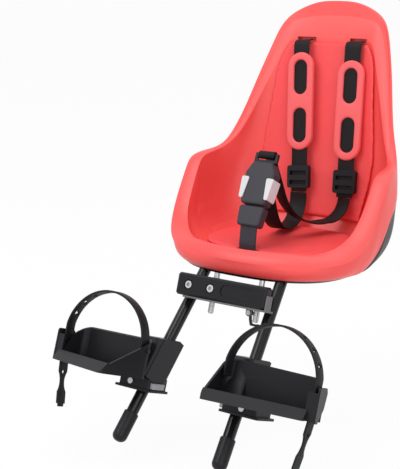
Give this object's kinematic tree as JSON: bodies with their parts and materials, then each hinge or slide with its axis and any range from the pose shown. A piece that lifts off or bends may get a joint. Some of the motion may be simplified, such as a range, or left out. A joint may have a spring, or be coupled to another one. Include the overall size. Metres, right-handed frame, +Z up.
{
  "type": "front-mounted child bike seat",
  "caption": "Moulded bucket seat for a child, clamped to a bike's steering stem, with a harness, height-adjustable footrests on leg tubes and foot straps.",
  "frame": {"origin": "middle of the stem clamp, on the axis of the steering stem", "axes": "+Z up, the child faces -Y, +X towards the child's left"},
  "size_m": [0.4076, 0.4631, 0.5564],
  "materials": {
    "shell_coral": "satin moulded plastic",
    "pad_coral": "soft moulded foam",
    "shoulder_coral": "soft moulded foam",
    "webbing": "woven webbing",
    "grey_strap": "smooth flexible strap",
    "buckle_grey": "satin moulded plastic",
    "light_grey": "satin moulded plastic",
    "mid_grey": "satin moulded plastic",
    "strap_rubber": "soft rubber",
    "tube_black": "gloss powder coat",
    "steel": "zinc plated",
    "latch_black": "black coated",
    "black_plastic": "satin moulded plastic"
  },
  "bodies": {
    "seat": {"adjuster_left": "black_plastic", "adjuster_right": "black_plastic", "base_cover": "black_plastic", "belt_left": "webbing", "belt_right": "webbing", "buckle_body": "buckle_grey", "buckle_tongue": "black_plastic", "cross_plate": "steel", "crotch_anchor": "black_plastic", "crotch_sleeve": "buckle_grey", "crotch_strap": "grey_strap", "docking_pins": "steel", "front_jaw": "black_plastic", "hinge_pin": "steel", "jaw_bolts": "steel", "jaw_nuts": "steel", "latch_rivet": "steel", "leg_cap_left": "black_plastic", "leg_cap_right": "black_plastic", "leg_left": "tube_black", "leg_right": "tube_black", "lock_plate": "steel", "lower_belt_left": "webbing", "lower_belt_right": "webbing", "pad_back": "pad_coral", "pad_floor": "pad_coral", "plate_screws": "steel", "rear_jaw": "black_plastic", "seat_shell": "shell_coral", "shoulder_pad_left": "shoulder_coral", "shoulder_pad_right": "shoulder_coral"},
    "foot_left": {"footrest_left": "black_plastic", "foot_lock_left": "black_plastic", "foot_screw_left": "steel", "foot_strap_left": "strap_rubber"},
    "foot_right": {"footrest_right": "black_plastic", "foot_lock_right": "black_plastic", "foot_screw_right": "steel", "foot_strap_right": "strap_rubber"},
    "release_left": {"release_button_left": "mid_grey"},
    "release_right": {"release_button_right": "mid_grey"},
    "buckle_left": {"buckle_button_left": "light_grey"},
    "buckle_right": {"buckle_button_right": "light_grey"},
    "latch": {"safety_latch": "latch_black"}
  },
  "joints": [
    {"name": "footrest_height_left", "type": "slide", "parent": "seat", "child": "foot_left", "axis": [-0.0698, 0.6642, 0.7443], "range_m": [-0.02, 0.04]},
    {"name": "footrest_height_right", "type": "slide", "parent": "seat", "child": "foot_right", "axis": [0.0698, 0.6642, 0.7443], "range_m": [-0.02, 0.04]},
    {"name": "release_press_left", "type": "slide", "parent": "foot_left", "child": "release_left", "axis": [1, 0, 0], "range_m": [0, 0.003], "stiffness_N_per_m": 600},
    {"name": "release_press_right", "type": "slide", "parent": "foot_right", "child": "release_right", "axis": [-1, 0, 0], "range_m": [0, 0.003], "stiffness_N_per_m": 600},
    {"name": "buckle_press_left", "type": "slide", "parent": "seat", "child": "buckle_left", "axis": [-1, 0, 0], "range_m": [0, 0.0035], "stiffness_N_per_m": 600},
    {"name": "buckle_press_right", "type": "slide", "parent": "seat", "child": "buckle_right", "axis": [1, 0, 0], "range_m": [0, 0.0035], "stiffness_N_per_m": 600},
    {"name": "latch_swing", "type": "hinge", "parent": "seat", "child": "latch", "pos_m": [0.0265, 0.02025, -0.03024], "axis": [0, 0.9511, -0.309], "range_deg": [0, 50]}
  ]
}
